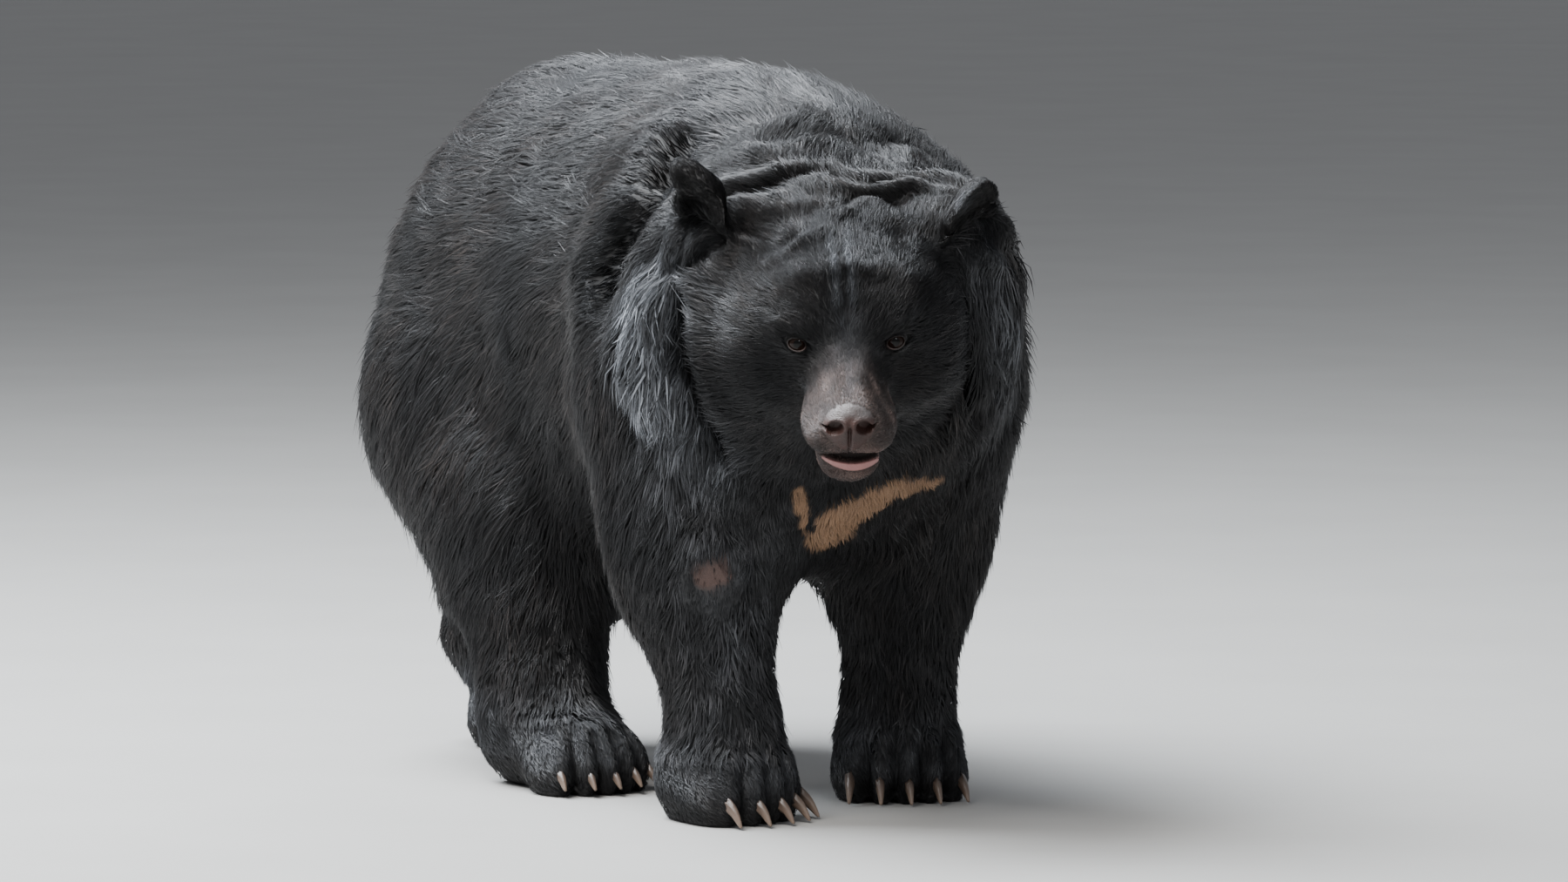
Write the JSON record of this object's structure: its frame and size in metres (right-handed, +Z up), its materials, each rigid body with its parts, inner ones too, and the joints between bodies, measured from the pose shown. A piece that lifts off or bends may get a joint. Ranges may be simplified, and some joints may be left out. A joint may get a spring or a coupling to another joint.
{
  "type": "asiatic black bear",
  "caption": "Heavy adult Asiatic black bear in mid walk, head lowered and turned to its right, long neck ruff, tan chest crescent, still model.",
  "frame": {"origin": "on the floor under the middle of the model's bounding box", "axes": "-Y ahead along the body, which is the way that the bear walks, +X to the bear's own left, +Z up"},
  "size_m": [0.5846, 1.4038, 0.9088],
  "materials": {
    "black_fur": "long, glossy, shaggy",
    "muzzle_fur": "short, flat, matte",
    "nose_skin": "moist, pebbled",
    "eye_surface": "wet gloss",
    "claw_horn": "satin, worn horn"
  },
  "bodies": {
    "root": {"claw_front_left_1": "claw_horn", "claw_front_left_2": "claw_horn", "claw_front_left_3": "claw_horn", "claw_front_left_4": "claw_horn", "claw_front_left_5": "claw_horn", "claw_front_right_1": "claw_horn", "claw_front_right_2": "claw_horn", "claw_front_right_3": "claw_horn", "claw_front_right_4": "claw_horn", "claw_front_right_5": "claw_horn", "claw_hind_left_1": "claw_horn", "claw_hind_left_2": "claw_horn", "claw_hind_left_3": "claw_horn", "claw_hind_left_4": "claw_horn", "claw_hind_left_5": "claw_horn", "claw_hind_right_1": "claw_horn", "claw_hind_right_2": "claw_horn", "claw_hind_right_3": "claw_horn", "claw_hind_right_4": "claw_horn", "claw_hind_right_5": "claw_horn", "ear_left": "black_fur", "ear_right": "black_fur", "eye_left": "eye_surface", "eye_right": "eye_surface", "head": "black_fur", "jaw": "muzzle_fur", "lower_front_left": "black_fur", "lower_front_right": "black_fur", "lower_hind_left": "black_fur", "lower_hind_right": "black_fur", "muzzle": "muzzle_fur", "neck": "black_fur", "nose": "nose_skin", "paw_front_left": "black_fur", "paw_front_right": "black_fur", "paw_hind_left": "black_fur", "paw_hind_right": "black_fur", "tail": "black_fur", "trunk": "black_fur", "upper_front_left": "black_fur", "upper_front_right": "black_fur", "upper_hind_left": "black_fur", "upper_hind_right": "black_fur"}
  },
  "joints": []
}
